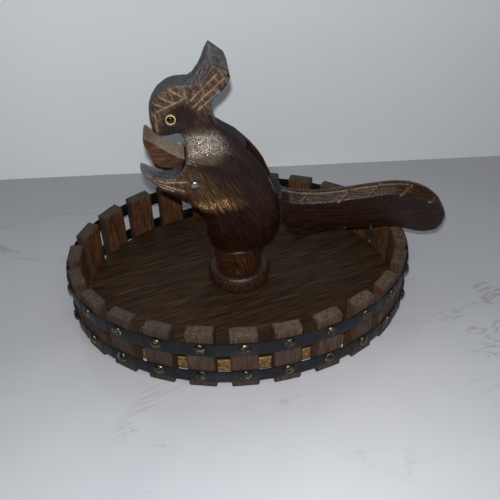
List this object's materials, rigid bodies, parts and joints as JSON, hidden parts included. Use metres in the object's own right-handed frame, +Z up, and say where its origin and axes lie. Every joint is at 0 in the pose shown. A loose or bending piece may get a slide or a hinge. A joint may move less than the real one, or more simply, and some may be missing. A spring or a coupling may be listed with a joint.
{
  "type": "lever nutcracker",
  "caption": "Carved wooden crested bird lever nutcracker on a turned foot, set in an oval slatted tray bound with iron bands; raising the tail opens the beak.",
  "frame": {"origin": "under the middle of the whole object, tail included, on the surface that the slats stand on", "axes": "+X from the beak towards the tail handle along the tray's long axis, +Y to the bird's left, +Z up"},
  "size_m": [0.3092, 0.2178, 0.2208],
  "materials": {
    "slat_wood": "worn brown stain with greyish end grain",
    "board_wood": "satin brown stain with streaky grain",
    "carved_wood": "dark red-brown gloss varnish, worn pale along carved cuts",
    "band_iron": "dark blued iron strip",
    "nail_brass": "dark antique domes with bright worn tops",
    "steel": "polished",
    "eye_ring": "glossy pale yellow enamel",
    "pupil": "glossy black"
  },
  "bodies": {
    "stand": {"tray_board": "board_wood", "slat_01": "slat_wood", "slat_02": "slat_wood", "slat_03": "slat_wood", "slat_04": "slat_wood", "slat_05": "slat_wood", "slat_06": "slat_wood", "slat_07": "slat_wood", "slat_08": "slat_wood", "slat_09": "slat_wood", "slat_10": "slat_wood", "slat_11": "slat_wood", "slat_12": "slat_wood", "slat_13": "slat_wood", "slat_14": "slat_wood", "slat_15": "slat_wood", "slat_16": "slat_wood", "slat_17": "slat_wood", "slat_18": "slat_wood", "slat_19": "slat_wood", "slat_20": "slat_wood", "slat_21": "slat_wood", "slat_22": "slat_wood", "slat_23": "slat_wood", "slat_24": "slat_wood", "lower_band": "band_iron", "upper_band": "band_iron", "turned_foot": "carved_wood", "bird_body": "carved_wood", "pivot_pin": "steel", "base_screw": "steel", "eye_ring_right": "eye_ring", "pupil_right": "pupil", "eye_ring_left": "eye_ring", "pupil_left": "pupil"},
    "lever": {"lever": "carved_wood"}
  },
  "joints": [
    {"name": "lever_pivot", "type": "hinge", "parent": "stand", "child": "lever", "pos_m": [-0.04511, 0, 0.12303], "axis": [0, -1, 0], "range_deg": [0, 40]}
  ]
}
